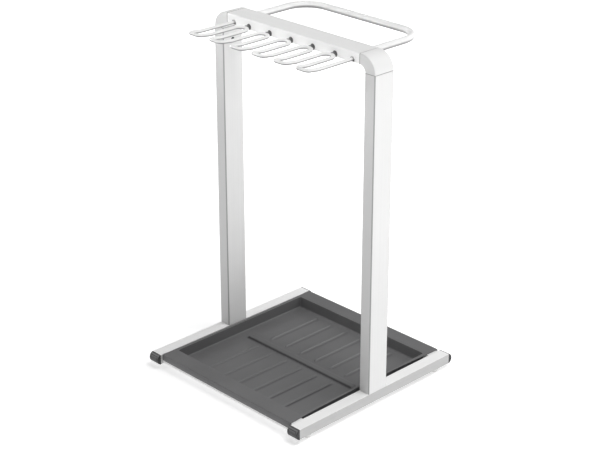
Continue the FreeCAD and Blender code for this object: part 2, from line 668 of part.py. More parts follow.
def make_glide_nut():
    """Press nut in the rail floor, its flange inside the rail."""
    body = cylinder(NUT_RADIUS - THREAD_GAP, RAIL_X, -GLIDE_Y, RAIL_BASE, Z_AXIS, NUT_HEIGHT)
    flange = cylinder(NUT_FLANGE_RADIUS, RAIL_X, -GLIDE_Y, RAIL_BASE + RAIL_WALL,
                      Z_AXIS, NUT_FLANGE_HEIGHT)
    bore = cylinder(STUD_RADIUS + THREAD_GAP, RAIL_X, -GLIDE_Y, RAIL_BASE - OVERCUT, Z_AXIS,
                    NUT_HEIGHT + 2 * OVERCUT)
    return body.fuse(flange).cut(bore).removeSplitter()


def make_access_plug():
    """Plug in the right rail's rear access hole."""
    disc = cylinder(ACCESS_RADIUS + PLUG_WALL, RAIL_X, PORT_Y, RAIL_BASE - PLUG_RIM,
                    Z_AXIS, PLUG_RIM)
    stem = cylinder(ACCESS_RADIUS - THREAD_GAP, RAIL_X, PORT_Y, RAIL_BASE - PLUG_RIM,
                    Z_AXIS, PLUG_RIM + PLUG_STEM)
    hollow = cylinder(ACCESS_RADIUS - PLUG_WALL, RAIL_X, PORT_Y, RAIL_BASE + SINK,
                      Z_AXIS, PLUG_STEM)
    return disc.fuse(stem).cut(hollow).removeSplitter()


def four_ways(shape):
    return [shape, mirror_x(shape), mirror_y(shape), mirror_x(mirror_y(shape))]


def build():
    """All nodes as a name-to-shape dictionary."""
    nodes = {}
    rail = make_rail()
    nodes["rail_right"] = rail
    nodes["rail_left"] = mirror_x(rail)

    cap = make_end_cap()
    corners = {"front_right": cap, "front_left": mirror_x(cap),
               "rear_right": mirror_y(cap), "rear_left": mirror_x(mirror_y(cap))}
    for place, shape in corners.items():
        nodes["end_cap_" + place] = shape

    post = make_post()
    nodes["post_right"] = post
    nodes["post_left"] = mirror_x(post)

    casting = make_corner_casting()
    nodes["corner_right"] = casting
    nodes["corner_left"] = mirror_x(casting)
    nodes["top_beam"] = make_beam()
    nodes["comb"] = make_comb()
    nodes["rear_hoop"] = make_hoop()
    plug = make_hoop_plug()
    nodes["hoop_plugs"] = Part.makeCompound([plug, mirror_x(plug)])

    bar = make_crossbar()
    nodes["crossbar_front"] = bar
    nodes["crossbar_rear"] = mirror_y(bar)
    nodes["crossbar_welds"] = Part.makeCompound(four_ways(make_bar_weld()))

    small = make_screw(SCREW_RADIUS, SCREW_LENGTH, HEAD_RADIUS, POST_WALL - HEAD_SINK,
                       SCREW_SOCKET, SCREW_SOCKET_DEPTH)
    on_tongue = POST_WALL + SEAT_GAP
    right = placed(small, RAIL_INNER_X + on_tongue, 0, SEAM_Z - POST_SCREW_DROP, Y_AXIS, 90)
    nodes["post_screws"] = Part.makeCompound([right, mirror_x(right)])
    right = placed(small, BEAM_SCREW_X, 0, BEAM_BOTTOM + on_tongue)
    nodes["beam_screws"] = Part.makeCompound([right, mirror_x(right)])
    right = placed(small, HOOP_HALF, HOOP_SCREW_Y, BEAM_BOTTOM)
    nodes["hoop_screws"] = Part.makeCompound([right, mirror_x(right)])

    bolt = make_screw(BOLT_RADIUS, RAIL_WALL + BOLT_REACH, BOLT_HEAD_RADIUS,
                      BOLT_HEAD_HEIGHT, BOLT_SOCKET, BOLT_SOCKET_DEPTH)
    bolt = placed(bolt, RAIL_X, PORT_Y, RAIL_TOP - RAIL_WALL)
    nodes["post_bolts"] = Part.makeCompound(four_ways(bolt))
    nodes["access_plugs"] = Part.makeCompound(four_ways(make_access_plug()))
    nodes["glide_nuts"] = Part.makeCompound(four_ways(make_glide_nut()))

    glide_pieces = {"glide": make_glide(), "stud": make_stud(), "washer": make_washer()}
    for kind, shape in glide_pieces.items():
        for place, copy in zip(("front_right", "front_left", "rear_right", "rear_left"),
                               four_ways(shape)):
            nodes[kind + "_" + place] = copy

    nodes["drip_tray"] = make_tray()
    return nodes


os.makedirs("parts", exist_ok=True)
for name, shape in build().items():
    if not shape.isValid():
        print("invalid shape:", name)
    shape.exportStep("parts/" + name + ".step")
    limits = shape.BoundBox
    print(name, len(shape.Solids), round(shape.Volume), round(limits.XMin, 2), round(limits.XMax, 2),
          round(limits.YMin, 2), round(limits.YMax, 2), round(limits.ZMin, 2), round(limits.ZMax, 2))
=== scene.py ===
import math

import bmesh
import bpy
import numpy as np
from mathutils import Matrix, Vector


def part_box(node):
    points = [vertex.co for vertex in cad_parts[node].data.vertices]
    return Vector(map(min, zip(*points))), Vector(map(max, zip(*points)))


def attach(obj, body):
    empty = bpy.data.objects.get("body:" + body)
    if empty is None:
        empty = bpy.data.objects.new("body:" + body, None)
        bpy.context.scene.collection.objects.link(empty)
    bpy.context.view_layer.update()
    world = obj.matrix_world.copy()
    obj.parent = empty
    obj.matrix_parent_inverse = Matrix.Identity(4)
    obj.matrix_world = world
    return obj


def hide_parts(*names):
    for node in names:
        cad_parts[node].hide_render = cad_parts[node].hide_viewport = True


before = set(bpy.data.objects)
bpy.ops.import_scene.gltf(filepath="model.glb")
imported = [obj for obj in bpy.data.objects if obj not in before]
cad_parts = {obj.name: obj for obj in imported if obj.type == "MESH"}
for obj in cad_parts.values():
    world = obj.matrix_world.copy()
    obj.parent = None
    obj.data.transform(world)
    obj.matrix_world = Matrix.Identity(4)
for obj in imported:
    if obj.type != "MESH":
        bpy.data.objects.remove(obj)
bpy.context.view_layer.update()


# ---- Camera ---------------------------------------------------------------------
# Stands 3.3 m away at the front right and 1.85 m up, and looks down on the stand
# without any lens shift.
CAMERA_PLACE = Vector((2.385, -2.320, 1.848))
CAMERA_PAN = math.radians(45.81)
CAMERA_TILT = math.radians(24.0)
CAMERA_LENS = 95.9

view_direction = Vector((-math.sin(CAMERA_PAN) * math.cos(CAMERA_TILT),
                         math.cos(CAMERA_PAN) * math.cos(CAMERA_TILT),
                         -math.sin(CAMERA_TILT)))
camera_data = bpy.data.cameras.new("camera")
camera_data.lens = CAMERA_LENS
camera_data.clip_end = 60.0
camera = bpy.data.objects.new("camera", camera_data)
bpy.context.scene.collection.objects.link(camera)
camera.location = CAMERA_PLACE
camera.rotation_euler = view_direction.to_track_quat("-Z", "Y").to_euler()
bpy.context.scene.camera = camera
bpy.context.scene.view_settings.view_transform = "Standard"


# ---- Studio ---------------------------------------------------------------------
# A pale floor that glows a little, more so away from the stand, and soft boxes: one to
# each side, one overhead, one behind, and two small ones for the comb and the beam.
# The floor's finish, like every finish after it, is written as arithmetic on wires.
class Wire:
    """One output socket of a material's nodes; arithmetic on it adds Math nodes."""

    def __init__(self, tree, socket=None):
        self.tree = tree
        self.socket = socket

    def node(self, kind, sockets, output=0, **settings):
        """Adds a node: settings first, then a value or a wire for each named socket."""
        made = self.tree.nodes.new("ShaderNode" + kind)
        for name, value in settings.items():
            setattr(made, name, value)
        for name, value in sockets.items():
            if isinstance(value, Wire):
                self.tree.links.new(value.socket, made.inputs[name])
            else:
                made.inputs[name].default_value = value
        return Wire(self.tree, made.outputs[output])

    def math(self, operation, *values):
        """One Math node; the operators below use it."""
        return self.node("Math", dict(enumerate(values)), operation=operation)

    def __add__(self, other):
        return self.math("ADD", self, other)

    def __sub__(self, other):
        return self.math("SUBTRACT", self, other)

    def __rsub__(self, other):
        return self.math("SUBTRACT", other, self)

    def __mul__(self, other):
        return self.math("MULTIPLY", self, other)

    def __abs__(self):
        return self.math("ABSOLUTE", self)

    __radd__ = __add__
    __rmul__ = __mul__

    def between(self, low, high):
        """0 below low, 1 above high, and a smooth rise from one to the other."""
        return self.node("MapRange", {"Value": self, "From Min": low, "From Max": high},
                         interpolation_type="SMOOTHSTEP")

    def noise(self, scale, detail=2.0, roughness=0.5):
        """A cloud pattern, 0 to 1, on the coordinates that this wire carries."""
        return self.node("TexNoise", {"Vector": self, "Scale": scale, "Detail": detail,
                                      "Roughness": roughness})

    def tint(self, colour_a, colour_b):
        """Mixes two colours by this wire."""
        return self.node("Mix", {0: self, 6: colour_a, 7: colour_b}, output=2,
                         data_type="RGBA")

    def bump(self, distance):
        """A surface normal from this wire as height, times distance in metres."""
        return self.node("Bump", {"Height": self, "Distance": distance, "Strength": 1.0})


def new_finish(name):
    """A new material and the object coordinates, in metres, that its pattern reads."""
    material = bpy.data.materials.new(name)
    material.use_nodes = True
    tree = material.node_tree
    tree.nodes.clear()
    place = Wire(tree).node("TexCoord", {}, output="Object")
    return material, place


def close_finish(material, sockets):
    """Ends a material in a Principled shader: numbers are set, wires are linked."""
    tree = material.node_tree
    shader = Wire(tree).node("BsdfPrincipled", sockets)
    output = tree.nodes.new("ShaderNodeOutputMaterial")
    tree.links.new(shader.socket, output.inputs["Surface"])


def colour(red, green, blue):
    """An opaque colour for a socket."""
    return (red, green, blue, 1.0)


FLOOR_SIZE = 30.0
FLOOR_LOW = colour(0.84, 0.84, 0.845)
FLOOR_HIGH = colour(0.86, 0.86, 0.86)
GLOW_INNER = 0.42
GLOW_OUTER = 0.75
GLOW_FROM = 0.5
GLOW_FULL = 1.5
WORLD_TONE = colour(1.0, 1.0, 1.0)
WORLD_STRENGTH = 0.22

floor_mesh = bpy.data.meshes.new("floor")
half_floor = FLOOR_SIZE / 2
floor_mesh.from_pydata([(-half_floor, -half_floor, 0.0), (half_floor, -half_floor, 0.0),
                        (half_floor, half_floor, 0.0), (-half_floor, half_floor, 0.0)],
                       [], [(0, 1, 2, 3)])
floor = bpy.data.objects.new("floor", floor_mesh)
bpy.context.scene.collection.objects.link(floor)
floor_finish, place = new_finish("floor_paper")
reach = place.node("VectorMath", {0: place}, output="Value", operation="LENGTH")
glow = reach.between(GLOW_FROM, GLOW_FULL).tint(
    colour(GLOW_INNER, GLOW_INNER, GLOW_INNER), colour(GLOW_OUTER, GLOW_OUTER, GLOW_OUTER))
close_finish(floor_finish, {
    "Base Color": place.noise(3.0).tint(FLOOR_LOW, FLOOR_HIGH),
    "Roughness": 0.9,
    "Specular IOR Level": 0.2,
    "Emission Color": glow,
    "Emission Strength": 1.0})
floor_mesh.materials.append(floor_finish)

world = bpy.data.worlds.new("studio")
bpy.context.scene.world = world
world.use_nodes = True
world.node_tree.nodes["Background"].inputs["Color"].default_value = WORLD_TONE
world.node_tree.nodes["Background"].inputs["Strength"].default_value = WORLD_STRENGTH


def soft_box(name, place, aim, width, height, power, spread=180.0):
    """Rectangular area light that faces a point; a grid in front narrows its spread."""
    data = bpy.data.lights.new(name, "AREA")
    data.shape = "RECTANGLE"
    data.size = width
    data.size_y = height
    data.energy = power
    data.spread = math.radians(spread)
    lamp = bpy.data.objects.new(name, data)
    bpy.context.scene.collection.objects.link(lamp)
    lamp.location = place
    lamp.rotation_euler = (Vector(aim) - Vector(place)).to_track_quat("-Z", "Y").to_euler()


soft_box("right_box", (2.8, 1.1, 1.0), (0.0, 0.0, 0.4), 1.2, 1.6, 14.5)
soft_box("top_box", (1.6, 0.4, 4.2), (0.0, 0.0, 0.2), 2.4, 2.0, 100.0)
soft_box("back_box", (0.3, 3.2, 1.8), (0.0, 0.0, 0.4), 1.8, 1.8, 28.0)
soft_box("left_box", (-3.0, 0.0, 1.4), (0.0, 0.0, 0.4), 1.6, 1.6, 30.0)
soft_box("comb_box", (-0.9, -1.3, 1.35), (-0.2, 0.0, 0.8), 0.5, 0.5, 1.8)
soft_box("beam_strip", (-0.45, -0.95, 1.15), (-0.08, -0.03, 0.815), 0.7, 0.12, 0.2, 30.0)


# ---- Rails, posts, top beam and cross bars -----------------------------------------
# Steel tube and aluminium extrusion, sprayed with polyester powder and baked: satin
# white, with a fine orange peel. The posts and beam show faint die lines below it.
COAT_LOW = colour(0.765, 0.766, 0.763)
COAT_HIGH = colour(0.800, 0.800, 0.797)
# Painted shade: the tone of the narrow faces, then the darker tone of the rounded edges.
COAT_NARROW_PAINTED_SHADE = colour(0.675, 0.676, 0.674)
COAT_EDGE_PAINTED_SHADE = colour(0.36, 0.36, 0.36)
# Painted light: the brighter tones of the beam's front.
BEAM_FRONT_PAINTED_LIGHT_LOW = colour(0.925, 0.925, 0.921)
BEAM_FRONT_PAINTED_LIGHT_HIGH = colour(0.945, 0.945, 0.941)
RAIL_LOW = colour(0.905, 0.905, 0.902)
RAIL_HIGH = colour(0.930, 0.930, 0.927)
# Painted shade: the rails' upright sides.
RAIL_SIDE_PAINTED_SHADE = colour(0.525, 0.525, 0.523)
# Painted shade: the beam's inside and the edges of its holes.
INSIDE_PAINTED_SHADE = colour(0.030, 0.030, 0.030)
COAT_ROUGHNESS = 0.36
MILLIMETRE = 0.001
PEEL_HEIGHT = 0.03 * MILLIMETRE
DIE_LINES_ACROSS = 260.0
DIE_LINES_ALONG = 1.5
BEAM_WALL = 1.5 * MILLIMETRE
TONE_BLUR = 0.4 * MILLIMETRE


def die_lines(place, scales):
    """Fine lines along the axis whose scale is low, 0 to 1."""
    return place.node("Mapping", {"Vector": place, "Scale": scales}).noise(1.0)


def coat_tone(place, low, high, lines=None):
    """Slow clouds between two tones, mixed with die lines on an extrusion."""
    cloud = place.noise(6.0, detail=3.0).between(0.35, 0.65)
    if lines is not None:
        cloud = cloud * 0.5 + lines.between(0.3, 0.7) * 0.5
    return cloud.tint(low, high)


def facing(place, axis):
    """How far the surface is turned to an axis of its piece, -1 to 1."""
    normal = place.node("TexCoord", {}, output="Normal")
    return normal.node("SeparateXYZ", {"Vector": normal}, output=axis)


def along(place, axis):
    """The place's own coordinate on one axis, in metres."""
    return place.node("SeparateXYZ", {"Vector": place}, output=axis)


def close_coat(material, place, tone, lines=None):
    """Satin coat over a tone: a peel of about 1 mm on a slow swell."""
    peel = place.noise(850.0, detail=1.0)
    swell = place.noise(90.0)
    height = peel * 0.7 + swell * 1.5
    if lines is not None:
        height = height + lines * 1.6
    speck = place.noise(1500.0, detail=0.0).between(0.80, 0.86)
    close_finish(material, {
        "Base Color": tone,
        "Roughness": COAT_ROUGHNESS + 0.08 * swell + 0.10 * speck,
        "Specular IOR Level": 0.45,
        "Normal": height.bump(PEEL_HEIGHT)})


# Posts: painted shade, greyer on the two narrow faces and darkest on the rounded edges.
post_coat, place = new_finish("post_powder_coat")
lines = die_lines(place, (DIE_LINES_ACROSS, DIE_LINES_ACROSS, DIE_LINES_ALONG))
tone = coat_tone(place, COAT_LOW, COAT_HIGH, lines)
narrow_shade_mask = abs(facing(place, "Y"))
edge_shade_mask = (narrow_shade_mask * abs(facing(place, "X"))).between(0.12, 0.42)
tone = edge_shade_mask.tint(narrow_shade_mask.between(0.3, 0.9).tint(tone, COAT_NARROW_PAINTED_SHADE), COAT_EDGE_PAINTED_SHADE)
close_coat(post_coat, place, tone, lines)

# Beam: its front is painted brightest, as painted light, and it is painted nearly black inside
# and on the edges of its holes, as painted shade.
beam_coat, place = new_finish("beam_powder_coat")
lines = die_lines(place, (DIE_LINES_ALONG, DIE_LINES_ACROSS, DIE_LINES_ACROSS))
tone = coat_tone(place, COAT_LOW, COAT_HIGH, lines)
front = facing(place, "Y").between(-0.3, -0.9)
tone = front.tint(tone, coat_tone(place, BEAM_FRONT_PAINTED_LIGHT_LOW, BEAM_FRONT_PAINTED_LIGHT_HIGH))
beam_low, beam_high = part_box("top_beam")
from_face = beam_high.y - abs(along(place, "Y"))
cut_edge_shade_mask = from_face.between(TONE_BLUR / 2, TONE_BLUR) * abs(facing(place, "Y")).between(0.6, 0.3)
inside_shade_mask = from_face.math("MAXIMUM", cut_edge_shade_mask, from_face.between(BEAM_WALL, BEAM_WALL + TONE_BLUR))
from_middle = abs(along(place, "Z") - (beam_low.z + beam_high.z) / 2)
half_inside = (beam_high.z - beam_low.z) / 2 - BEAM_WALL
inside_shade_mask = inside_shade_mask * (half_inside - from_middle).between(0.0, TONE_BLUR)
close_coat(beam_coat, place, inside_shade_mask.tint(tone, INSIDE_PAINTED_SHADE), lines)

# Rails: their upright sides are painted greyer, as painted shade. The cross bars have one tone
# all round.
rail_coat, place = new_finish("rail_powder_coat")
tone = coat_tone(place, RAIL_LOW, RAIL_HIGH)
tone = facing(place, "Z").between(0.9, 0.3).tint(tone, RAIL_SIDE_PAINTED_SHADE)
close_coat(rail_coat, place, tone)
bar_coat, place = new_finish("bar_powder_coat")
close_coat(bar_coat, place, coat_tone(place, RAIL_LOW, RAIL_HIGH))

coated = {"post_right": post_coat, "post_left": post_coat, "top_beam": beam_coat,
          "rail_right": rail_coat, "rail_left": rail_coat,
          "crossbar_front": bar_coat, "crossbar_rear": bar_coat}
for name, finish in coated.items():
    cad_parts[name].data.materials[0] = finish


# ---- Corner castings ----------------------------------------------------------------
# Aluminium castings, one at each end of the beam: a quarter bend whose tongues go
# into the post and the beam. Their small end rounding leaves a fine seam line.
BEND_INNER = 15.5 * MILLIMETRE
BEND_OUTER = 40.5 * MILLIMETRE
CAST_EDGE = 3.0 * MILLIMETRE
CAST_EDGE_LEAST = 0.5 * MILLIMETRE
SEAM_ROUNDING = 0.7 * MILLIMETRE
SEAM_OPENING = 0.15 * MILLIMETRE
TONGUE_HALF = 15.0 * MILLIMETRE
TONGUE_LENGTH = 40.0 * MILLIMETRE
TONGUE_EDGE = 1.0 * MILLIMETRE
TONGUE_IN_BEND = 2.0 * MILLIMETRE
TUBE_WALL = 2.1 * MILLIMETRE
SECTION_COUNT = 33
MERGE_DISTANCE = 0.001 * MILLIMETRE
SHORTEST_EDGE = 0.0001 * MILLIMETRE


def grid_faces(rows, columns, wrap_columns=False):
    """Corner numbers of the quads of a rows x columns grid of points."""
    r = np.arange(rows - 1)[:, None]
    c = np.arange(columns if wrap_columns else columns - 1)[None, :]
    right = (c + 1) % columns
    quads = np.stack(np.broadcast_arrays(r * columns + c, r * columns + right,
                                         (r + 1) * columns + right, (r + 1) * columns + c), -1)
    return quads.reshape(-1, 4)


def new_piece(name, shells, finish, merge=False):
    """Object from shells of points, quads and end faces, all turned to face outwards."""
    corners = []
    polygons = []
    first = 0
    for points, quads, ends in shells:
        points = np.asarray(points, float).reshape(-1, 3)
        corners.append(points)
        polygons += (quads + first).tolist()
        polygons += [(end + first).tolist() for end in ends]
        first += len(points)
    mesh = bpy.data.meshes.new(name)
    mesh.from_pydata(np.concatenate(corners).tolist(), [], polygons)
    work = bmesh.new()
    work.from_mesh(mesh)
    if merge:
        bmesh.ops.remove_doubles(work, verts=work.verts, dist=MERGE_DISTANCE)
    bmesh.ops.dissolve_degenerate(work, edges=work.edges, dist=SHORTEST_EDGE)
    bmesh.ops.recalc_face_normals(work, faces=work.faces)
    work.to_mesh(mesh)
    work.free()
    mesh.polygons.foreach_set("use_smooth", np.ones(len(mesh.polygons), bool))
    mesh.materials.append(finish)
    piece = bpy.data.objects.new(name, mesh)
    bpy.context.scene.collection.objects.link(piece)
    return piece


def closed_tube(rings):
    """Shell from rings x points x 3: rings joined in order, both ends filled."""
    rows, columns = rings.shape[:2]
    loop = np.arange(columns)
    ends = [loop[::-1], loop + (rows - 1) * columns]
    return rings, grid_faces(rows, columns, wrap_columns=True), ends


def rounded_outline(half_a, half_b, radius, steps=6):
    """Points round a rectangle whose corners are arcs of this radius, as (a, b) pairs."""
    turn = np.linspace(0, math.pi / 2, steps + 1)
    arc = np.stack([np.cos(turn), np.sin(turn)], 1) * radius
    outline = []
    for quarter in range(4):
        c, s = [(1, 0), (0, 1), (-1, 0), (0, -1)][quarter]
        sign_a = 1 if quarter in (0, 3) else -1
        sign_b = 1 if quarter in (0, 1) else -1
        centre = np.array([sign_a * (half_a - radius), sign_b * (half_b - radius)])
        outline.append(centre + arc @ np.array([[c, s], [-s, c]]))
    return np.concatenate(outline)


def casting_rings(side):
    """Sections of the bend: each spans from its inner arc to its outer arc, then both
    ends draw in by a small quarter round."""
    post_low, post_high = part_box("post_right")
    beam_low, beam_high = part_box("top_beam")
    half_depth = post_high.y
    seam_z = post_high.z
    inner_centre = np.array([beam_high.x, seam_z])
    outer_centre = np.array([post_high.x - BEND_OUTER, seam_z])
    t = np.linspace(0, 1, SECTION_COUNT)
    inner_turn = t * math.pi / 2
    straight = outer_centre[0] - beam_high.x
    outer_run = t * (BEND_OUTER * math.pi / 2 + straight)
    outer_turn = np.minimum(outer_run / BEND_OUTER, math.pi / 2)
    overrun = np.maximum(outer_run - BEND_OUTER * math.pi / 2, 0)
    inner = inner_centre + BEND_INNER * np.stack([np.cos(inner_turn), np.sin(inner_turn)], 1)
    outer = outer_centre + BEND_OUTER * np.stack([np.cos(outer_turn), np.sin(outer_turn)], 1)
    outer[:, 0] -= overrun
    middle = (inner + outer) / 2
    half = np.linalg.norm(outer - inner, axis=1) / 2
    across = (outer - inner) / (2 * half[:, None])
    onward = np.stack([-across[:, 1], across[:, 0]], 1)
    ease = np.linspace(0, math.pi / 2, 5)[:-1]
    rings = []

    def ring(k, shrink, advance):
        outline = rounded_outline(half[k] - shrink, half_depth - shrink,
                                  max(CAST_EDGE - shrink, CAST_EDGE_LEAST))
        centre = middle[k] + onward[k] * advance
        flat = centre + outline[:, :1] * across[k]
        return np.stack([flat[:, 0], outline[:, 1], flat[:, 1]], 1)

    for angle in ease:
        rings.append(ring(0, SEAM_ROUNDING * (1 - math.sin(angle)),
                          SEAM_OPENING + SEAM_ROUNDING * (1 - math.cos(angle))))
    for k in range(1, SECTION_COUNT - 1):
        rings.append(ring(k, 0.0, 0.0))
    for angle in ease[::-1]:
        rings.append(ring(SECTION_COUNT - 1, SEAM_ROUNDING * (1 - math.sin(angle)),
                          -SEAM_OPENING - SEAM_ROUNDING * (1 - math.cos(angle))))
    rings = np.array(rings)
    rings[..., 0] *= side
    return rings


def tongue_rings(side, into_post):
    """Rounded bar from inside the bend into the post, or into the beam."""
    post_low, post_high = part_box("post_right")
    beam_low, beam_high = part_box("top_beam")
    if into_post:
        half = (post_high.x - post_low.x) / 2 - TUBE_WALL
        outline = rounded_outline(half, TONGUE_HALF, TONGUE_EDGE, steps=2)
        levels = np.array([post_high.z - TONGUE_LENGTH, post_high.z + TONGUE_IN_BEND])
        middle = (post_high.x + post_low.x) / 2
        rings = np.array([np.stack([outline[:, 0] + middle, outline[:, 1],
                                    np.full(len(outline), z)], 1) for z in levels])
    else:
        half = (beam_high.z - beam_low.z) / 2 - TUBE_WALL
        outline = rounded_outline(half, TONGUE_HALF, TONGUE_EDGE, steps=2)
        stations = np.array([beam_high.x - TONGUE_LENGTH, beam_high.x + TONGUE_IN_BEND])
        middle = (beam_high.z + beam_low.z) / 2
        rings = np.array([np.stack([np.full(len(outline), x), outline[:, 1],
                                    outline[:, 0] + middle], 1) for x in stations])
    rings[..., 0] *= side
    return rings


# Painted shade: greyer on the two flat faces, and a dark line painted along each seam, where the
# narrow gap lies in shade.
SEAM_PAINTED_SHADE = colour(0.14, 0.14, 0.14)
SEAM_HALF = 0.8 * MILLIMETRE
SEAM_FADE = 1.9 * MILLIMETRE
cast_coat, place = new_finish("casting_powder_coat")
tone = coat_tone(place, COAT_LOW, COAT_HIGH)
tone = abs(facing(place, "Y")).between(0.3, 0.9).tint(tone, COAT_NARROW_PAINTED_SHADE)
from_post = abs(along(place, "Z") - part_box("post_right")[1].z)
from_beam = abs(abs(along(place, "X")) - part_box("top_beam")[1].x)
seam_shade_mask = from_post.math("MINIMUM", from_post, from_beam).between(SEAM_FADE, SEAM_HALF)
close_coat(cast_coat, place, seam_shade_mask.tint(tone, SEAM_PAINTED_SHADE))

for side, place_name in ((1, "right"), (-1, "left")):
    casting = new_piece("corner_casting_" + place_name,
                        [closed_tube(casting_rings(side)),
                         closed_tube(tongue_rings(side, True)),
                         closed_tube(tongue_rings(side, False))], cast_coat)
    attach(casting, "frame")
    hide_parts("corner_" + place_name)


# ---- Wire comb ------------------------------------------------------------------------
# One length of 8 mm steel rod bent back and forth, with square-cornered loops in front
# that are turned up a little and round bends behind. Short spacers weld it to the beam.
ROD_RADIUS = 4.0 * MILLIMETRE
ROD_PITCH = 33.4 * MILLIMETRE
ROD_COUNT = 12
ROD_HEIGHT = 812.0 * MILLIMETRE
CORNER_BEND = 9.0 * MILLIMETRE
FRONT_RUN = 160.24 * MILLIMETRE
REAR_RUN = 40.0 * MILLIMETRE
TILT_START = 125.0 * MILLIMETRE
TILT_RADIUS = 40.0 * MILLIMETRE
TILT = math.radians(7.0)
SPACER_RADIUS = 3.5 * MILLIMETRE
BEAD_FLARE = 3.4 * MILLIMETRE
FLARE_AT_BEAM = 1.3 * MILLIMETRE
FLARE_AT_ROD = 1.5 * MILLIMETRE
SPACER_RINGS = 16
ROD_SIDES = 24
CORNER_POINTS = 10
REAR_BEND_POINTS = 14
RUN_STEP = 4.0 * MILLIMETRE


def straight_run(start, end):
    """Evenly spaced points from one (x, y) to another, the last left out."""
    count = max(int(math.dist(start, end) / RUN_STEP), 2)
    share = np.arange(count)[:, None] / count
    return np.array(start) * (1 - share) + np.array(end) * share


def arc_run(centre, radius, from_angle, to_angle, steps):
    """Points round an arc in the plan, the last left out."""
    angle = from_angle + (to_angle - from_angle) * np.arange(steps) / steps
    return np.array(centre) + radius * np.stack([np.cos(angle), np.sin(angle)], 1)


def turned_up(plan):
    """Lays plan points on a level that curves up by the tilt angle in front."""
    past = np.maximum(-TILT_START - plan[:, 1], 0)
    in_bend = np.minimum(past / TILT_RADIUS, TILT)
    beyond = past - in_bend * TILT_RADIUS
    y = np.maximum(plan[:, 1], -TILT_START) - TILT_RADIUS * np.sin(in_bend)
    z = TILT_RADIUS * (1 - np.cos(in_bend))
    return np.stack([plan[:, 0], y - beyond * math.cos(TILT),
                     ROD_HEIGHT + z + beyond * math.sin(TILT)], 1)


def round_tube(path, radius, sides):
    """Circles of this radius, one number or one a point, square to a path that is
    nowhere upright."""
    onward = np.gradient(path, axis=0)
    onward /= np.linalg.norm(onward, axis=1)[:, None]
    level = np.cross(onward, (0.0, 0.0, 1.0))
    level /= np.linalg.norm(level, axis=1)[:, None]
    upward = np.cross(level, onward)
    turn = np.linspace(0, 2 * math.pi, sides, endpoint=False)[None, :, None]
    ring = np.cos(turn) * level[:, None] + np.sin(turn) * upward[:, None]
    return path[:, None] + np.broadcast_to(radius, len(path))[:, None, None] * ring


def comb_path():
    """The meander in plan, from the left leg's end in the beam to the right leg's."""
    bend = ROD_PITCH / 2
    left = -ROD_PITCH * (ROD_COUNT - 1) / 2
    socket_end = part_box("comb")[1].y
    front = -FRONT_RUN + CORNER_BEND
    rear = -REAR_RUN - bend
    plan = []
    for index in range(ROD_COUNT // 2):
        x = left + 2 * index * ROD_PITCH
        start = socket_end if index == 0 else rear
        plan.append(straight_run((x, start), (x, front)))
        left_centre = x + CORNER_BEND
        right_centre = x + ROD_PITCH - CORNER_BEND
        plan.append(arc_run((left_centre, front), CORNER_BEND, math.pi, 1.5 * math.pi,
                            CORNER_POINTS))
        plan.append(straight_run((left_centre, -FRONT_RUN), (right_centre, -FRONT_RUN)))
        plan.append(arc_run((right_centre, front), CORNER_BEND, 1.5 * math.pi, 2 * math.pi,
                            CORNER_POINTS))
        if index < ROD_COUNT // 2 - 1:
            plan.append(straight_run((x + ROD_PITCH, front), (x + ROD_PITCH, rear)))
            plan.append(arc_run((x + 1.5 * ROD_PITCH, rear), bend, math.pi, 0,
                                REAR_BEND_POINTS))
        else:
            plan.append(straight_run((x + ROD_PITCH, front), (x + ROD_PITCH, socket_end)))
            plan.append(np.array([[x + ROD_PITCH, socket_end]]))
    return turned_up(np.concatenate(plan))


def spacer_rings(x):
    """Short round bar from a rear bend to the beam, its welds flared at both ends."""
    front_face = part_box("top_beam")[0].y
    y = np.linspace(-REAR_RUN, front_face + 0.1 * MILLIMETRE, SPACER_RINGS)
    to_beam = np.exp(-((front_face - y) / FLARE_AT_BEAM))
    to_rod = np.exp(-((y + REAR_RUN - ROD_RADIUS) / FLARE_AT_ROD).clip(0))
    radius = SPACER_RADIUS + BEAD_FLARE * to_beam + 0.4 * BEAD_FLARE * to_rod
    path = np.stack([np.full(SPACER_RINGS, x), y, np.full(SPACER_RINGS, ROD_HEIGHT)], 1)
    return round_tube(path, radius, ROD_SIDES)


# White above, and painted shade: grey on the underside.
ROD_LOW = colour(0.80, 0.80, 0.797)
ROD_HIGH = colour(0.84, 0.84, 0.837)
ROD_UNDER_PAINTED_SHADE = colour(0.24, 0.24, 0.24)
rod_coat, place = new_finish("rod_powder_coat")
tone = coat_tone(place, ROD_LOW, ROD_HIGH)
tone = facing(place, "Z").between(0.25, -0.45).tint(tone, ROD_UNDER_PAINTED_SHADE)
close_coat(rod_coat, place, tone)
comb = new_piece("wire_comb", [closed_tube(round_tube(comb_path(), ROD_RADIUS, ROD_SIDES))],
                 rod_coat)
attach(comb, "frame")
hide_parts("comb")

# The spacers and the welds at their ends are painted near black, darker than the rod, as painted
# shade behind each rear bend.
SPACER_PAINTED_SHADE_LOW = colour(0.07, 0.07, 0.07)
SPACER_PAINTED_SHADE_HIGH = colour(0.14, 0.14, 0.14)
spacer_painted_shade_coat, place = new_finish("spacer_painted_shade_coat")
close_coat(spacer_painted_shade_coat, place, place.noise(400.0).tint(SPACER_PAINTED_SHADE_LOW, SPACER_PAINTED_SHADE_HIGH))
spacer_shells = []
for index in range(ROD_COUNT // 2 - 1):
    x = -ROD_PITCH * (ROD_COUNT - 1) / 2 + (2 * index + 1.5) * ROD_PITCH
    spacer_shells.append(closed_tube(spacer_rings(x)))
spacers = new_piece("comb_spacers", spacer_shells, spacer_painted_shade_coat)
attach(spacers, "frame")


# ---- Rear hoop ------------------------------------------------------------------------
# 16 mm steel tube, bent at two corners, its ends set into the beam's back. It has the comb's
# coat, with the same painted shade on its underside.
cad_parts["rear_hoop"].data.materials[0] = rod_coat


